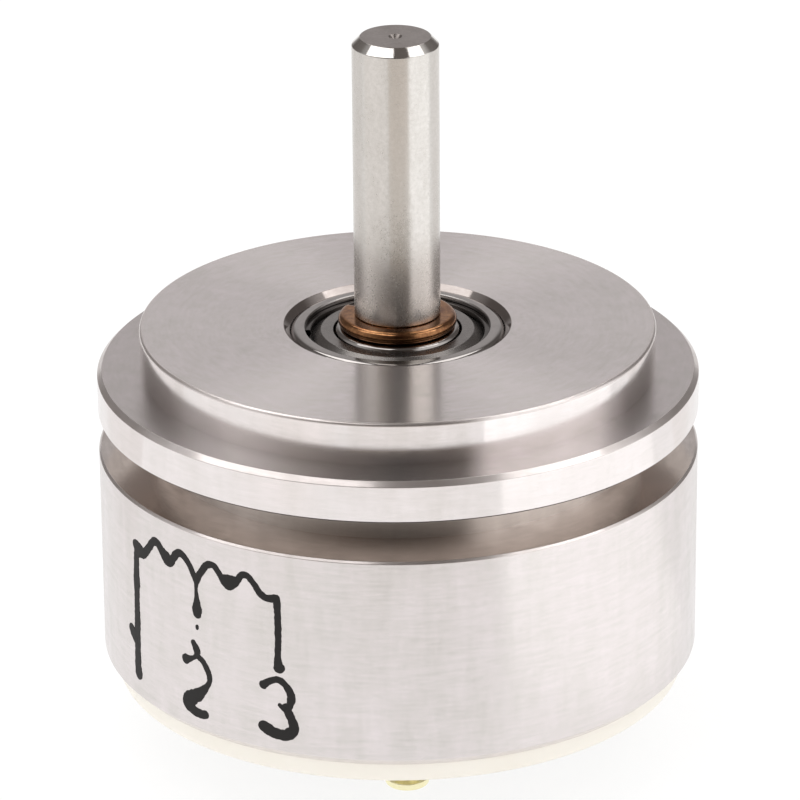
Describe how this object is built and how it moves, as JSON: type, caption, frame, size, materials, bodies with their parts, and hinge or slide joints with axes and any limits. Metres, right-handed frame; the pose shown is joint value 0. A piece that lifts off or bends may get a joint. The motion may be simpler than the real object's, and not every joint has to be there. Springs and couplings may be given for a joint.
{
  "type": "rotary potentiometer",
  "caption": "Single-turn rotary potentiometer with a servo-mount aluminium case, a plain shaft in ball bearings, and turret solder terminals at the rear.",
  "frame": {"origin": "centre of the pilot at the flange's front (mounting) face, on the shaft's axis", "axes": "+Z along the shaft's axis towards its free end; -Y towards the side of the centre terminal"},
  "size_m": [0.0222, 0.0222, 0.0273],
  "materials": {
    "housing": "fine turned",
    "cover": "moulded",
    "gold": "gold plated",
    "substrate": "moulded",
    "track": "smooth",
    "silver": "printed silver",
    "bearing_steel": "polished",
    "shield": "pressed",
    "spring_steel": "spring steel",
    "cage": "moulded",
    "shaft": "ground",
    "bronze": "spring bronze",
    "hub": "moulded"
  },
  "bodies": {
    "housing": {"housing": "housing", "rear_cover": "cover", "terminal_1": "gold", "terminal_2": "gold", "terminal_3": "gold", "element_substrate": "substrate", "resistive_track": "track", "collector_track": "track", "silver_traces": "silver", "front_bearing_outer_ring": "bearing_steel", "front_bearing_outer_shield": "shield", "front_bearing_inner_shield": "shield", "front_bearing_outer_snap_ring": "spring_steel", "front_bearing_inner_snap_ring": "spring_steel", "rear_bearing_outer_ring": "bearing_steel", "rear_bearing_outer_shield": "shield", "rear_bearing_inner_shield": "shield", "rear_bearing_outer_snap_ring": "spring_steel", "rear_bearing_inner_snap_ring": "spring_steel"},
    "rotor": {"shaft": "shaft", "retaining_ring": "bronze", "preload_washer": "spring_steel", "wiper_hub": "hub", "wiper_arm": "bronze", "track_wiper": "gold", "collector_wiper": "gold", "front_bearing_inner_ring": "bearing_steel", "rear_bearing_inner_ring": "bearing_steel"},
    "front_cage": {"front_bearing_balls": "bearing_steel", "front_bearing_cage": "cage"},
    "rear_cage": {"rear_bearing_balls": "bearing_steel", "rear_bearing_cage": "cage"}
  },
  "joints": [
    {"name": "shaft_spin", "type": "hinge", "parent": "housing", "child": "rotor", "pos_m": [0, 0, 0], "axis": [0, 0, 1], "continuous": true},
    {"name": "front_cage_spin", "type": "hinge", "parent": "housing", "child": "front_cage", "pos_m": [0, 0, 0], "axis": [0, 0, 1], "continuous": true},
    {"name": "rear_cage_spin", "type": "hinge", "parent": "housing", "child": "rear_cage", "pos_m": [0, 0, 0], "axis": [0, 0, 1], "continuous": true}
  ],
  "couplings": [
    {"joint": "front_cage_spin", "follows": "shaft_spin", "ratio": 0.3571},
    {"joint": "rear_cage_spin", "follows": "shaft_spin", "ratio": 0.3571}
  ]
}
